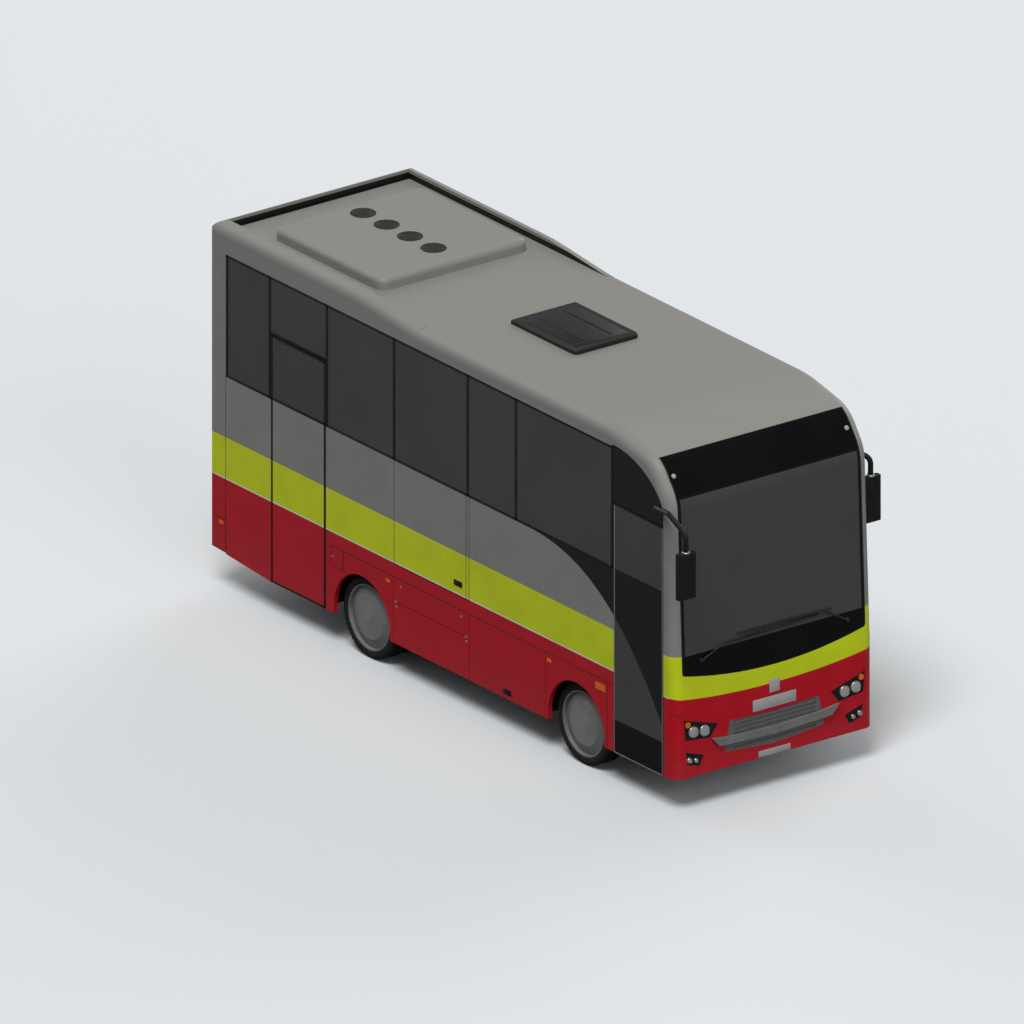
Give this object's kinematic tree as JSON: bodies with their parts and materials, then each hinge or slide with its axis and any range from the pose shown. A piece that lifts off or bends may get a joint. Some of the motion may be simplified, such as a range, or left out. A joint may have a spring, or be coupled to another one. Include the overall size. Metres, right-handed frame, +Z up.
{
  "type": "midi passenger bus",
  "caption": "Short single-deck passenger bus with kerb-side front and rear doors, under-floor lockers, opening lids and a rooftop air conditioner on twin-tyred rear wheels.",
  "frame": {"origin": "on the ground under the middle of the whole vehicle, mirrors included", "axes": "+X forward, +Y to the left side, +Z up"},
  "size_m": [7.289, 2.644, 3.581],
  "materials": {
    "tyre": "matt black rubber",
    "rim": "grey painted wheel disc",
    "body_grey": "silver-grey paint with lime and red bands",
    "roof_grey": "silver-grey paint",
    "red_paint": "red paint",
    "black_panel": "gloss black",
    "glass": "dark tinted glass",
    "chassis": "black chassis paint",
    "floor": "grey floor covering on plywood",
    "sheet": "dark painted sheet",
    "engine": "cast iron",
    "seat": "dark blue-grey seat cloth",
    "plastic": "matt black plastic",
    "grille": "dark grey plastic",
    "lamp_clear": "clear lamp lens",
    "lamp_amber": "amber lens",
    "lamp_red": "red lens",
    "steel": "bare steel"
  },
  "bodies": {
    "chassis": {"roof": "roof_grey", "roof_coaming": "roof_grey", "front_pillars": "roof_grey", "air_conditioner": "roof_grey", "fan_guards": "plastic", "right_wall": "body_grey", "left_wall": "body_grey", "rear_wall": "body_grey", "skirts": "red_paint", "bumpers": "red_paint", "front_panel": "red_paint", "screen_panels": "black_panel", "windscreen": "glass", "windows": "glass", "lamp_housings": "plastic", "headlamps": "lamp_clear", "amber_lamps": "lamp_amber", "tail_lamps": "lamp_red", "grille": "grille", "grille_bar": "grille", "mirrors": "plastic", "wipers": "plastic", "hinge_pins": "steel", "floor": "floor", "steps": "sheet", "lockers": "sheet", "chassis_frame": "chassis", "axles": "chassis", "leaf_springs": "chassis", "engine_block": "engine", "fuel_tank": "sheet", "silencer": "steel", "wheel_housings": "plastic", "seats": "seat", "dashboard": "plastic", "steering_column": "plastic", "grab_poles": "steel"},
    "right_knuckle": {"right_knuckle": "chassis"},
    "left_knuckle": {"left_knuckle": "chassis"},
    "right_front_wheel": {"right_front_tyre": "tyre", "right_front_rim": "rim"},
    "left_front_wheel": {"left_front_tyre": "tyre", "left_front_rim": "rim"},
    "right_rear_wheels": {"right_rear_tyre": "tyre", "right_rear_rim": "rim"},
    "left_rear_wheels": {"left_rear_tyre": "tyre", "left_rear_rim": "rim"},
    "front_door": {"front_door": "black_panel", "front_door_glass": "glass"},
    "rear_door": {"rear_door": "body_grey", "rear_door_glass": "glass"},
    "boot_lid": {"boot_lid": "body_grey"},
    "fuel_flap": {"fuel_flap": "red_paint"},
    "roof_hatch": {"roof_hatch": "plastic"},
    "right_rear_locker_lid": {"right_rear_locker_lid": "red_paint"},
    "right_front_locker_lid": {"right_front_locker_lid": "red_paint"},
    "left_rear_locker_lid": {"left_rear_locker_lid": "red_paint"},
    "left_front_locker_lid": {"left_front_locker_lid": "red_paint"},
    "steering_wheel": {"steering_wheel": "plastic"}
  },
  "joints": [
    {"name": "right_steering", "type": "hinge", "parent": "chassis", "child": "right_knuckle", "pos_m": [1.8255, -0.83, 0.39], "axis": [0, 0, 1], "range_deg": [-35, 35]},
    {"name": "left_steering", "type": "hinge", "parent": "chassis", "child": "left_knuckle", "pos_m": [1.8255, 0.83, 0.39], "axis": [0, 0, 1], "range_deg": [-35, 35]},
    {"name": "steering_wheel_turn", "type": "hinge", "parent": "chassis", "child": "steering_wheel", "pos_m": [2.6525, 0.56, 1.69], "axis": [-0.5299, 0, 0.848], "range_deg": [-630, 630]},
    {"name": "right_front_wheel_spin", "type": "hinge", "parent": "right_knuckle", "child": "right_front_wheel", "pos_m": [1.8255, -0.9365, 0.39], "axis": [0, 1, 0], "continuous": true},
    {"name": "left_front_wheel_spin", "type": "hinge", "parent": "left_knuckle", "child": "left_front_wheel", "pos_m": [1.8255, 0.9365, 0.39], "axis": [0, 1, 0], "continuous": true},
    {"name": "right_rear_wheels_spin", "type": "hinge", "parent": "chassis", "child": "right_rear_wheels", "pos_m": [-1.3745, -0.9365, 0.39], "axis": [0, 1, 0], "continuous": true},
    {"name": "left_rear_wheels_spin", "type": "hinge", "parent": "chassis", "child": "left_rear_wheels", "pos_m": [-1.3745, 0.9365, 0.39], "axis": [0, 1, 0], "continuous": true},
    {"name": "front_door_swing", "type": "hinge", "parent": "chassis", "child": "front_door", "pos_m": [3.1242, -1.122, 1.5], "axis": [0, 0, 1], "range_deg": [0, 85]},
    {"name": "rear_door_swing", "type": "hinge", "parent": "chassis", "child": "rear_door", "pos_m": [-1.9142, -1.122, 1.5], "axis": [0, 0, 1], "range_deg": [0, 85]},
    {"name": "fuel_flap_swing", "type": "hinge", "parent": "chassis", "child": "fuel_flap", "pos_m": [-1.6542, -1.122, 0.87], "axis": [0, 0, 1], "range_deg": [0, 80]},
    {"name": "boot_lid_lift", "type": "hinge", "parent": "chassis", "child": "boot_lid", "pos_m": [-3.6375, 0, 1.3633], "axis": [0, 1, 0], "range_deg": [0, 80]},
    {"name": "roof_hatch_lift", "type": "hinge", "parent": "chassis", "child": "roof_hatch", "pos_m": [-0.1608, 0, 3.4583], "axis": [0, -1, 0], "range_deg": [0, 60]},
    {"name": "right_rear_locker_lid_lift", "type": "hinge", "parent": "chassis", "child": "right_rear_locker_lid", "pos_m": [-0.3375, -1.122, 0.9617], "axis": [-1, 0, 0], "range_deg": [0, 80]},
    {"name": "right_front_locker_lid_lift", "type": "hinge", "parent": "chassis", "child": "right_front_locker_lid", "pos_m": [0.8, -1.122, 0.9617], "axis": [-1, 0, 0], "range_deg": [0, 80]},
    {"name": "left_rear_locker_lid_lift", "type": "hinge", "parent": "chassis", "child": "left_rear_locker_lid", "pos_m": [-0.3375, 1.122, 0.9617], "axis": [1, 0, 0], "range_deg": [0, 80]},
    {"name": "left_front_locker_lid_lift", "type": "hinge", "parent": "chassis", "child": "left_front_locker_lid", "pos_m": [0.8, 1.122, 0.9617], "axis": [1, 0, 0], "range_deg": [0, 80]}
  ],
  "couplings": [
    {"joint": "left_steering", "follows": "right_steering", "ratio": 1},
    {"joint": "steering_wheel_turn", "follows": "right_steering", "ratio": 18}
  ]
}
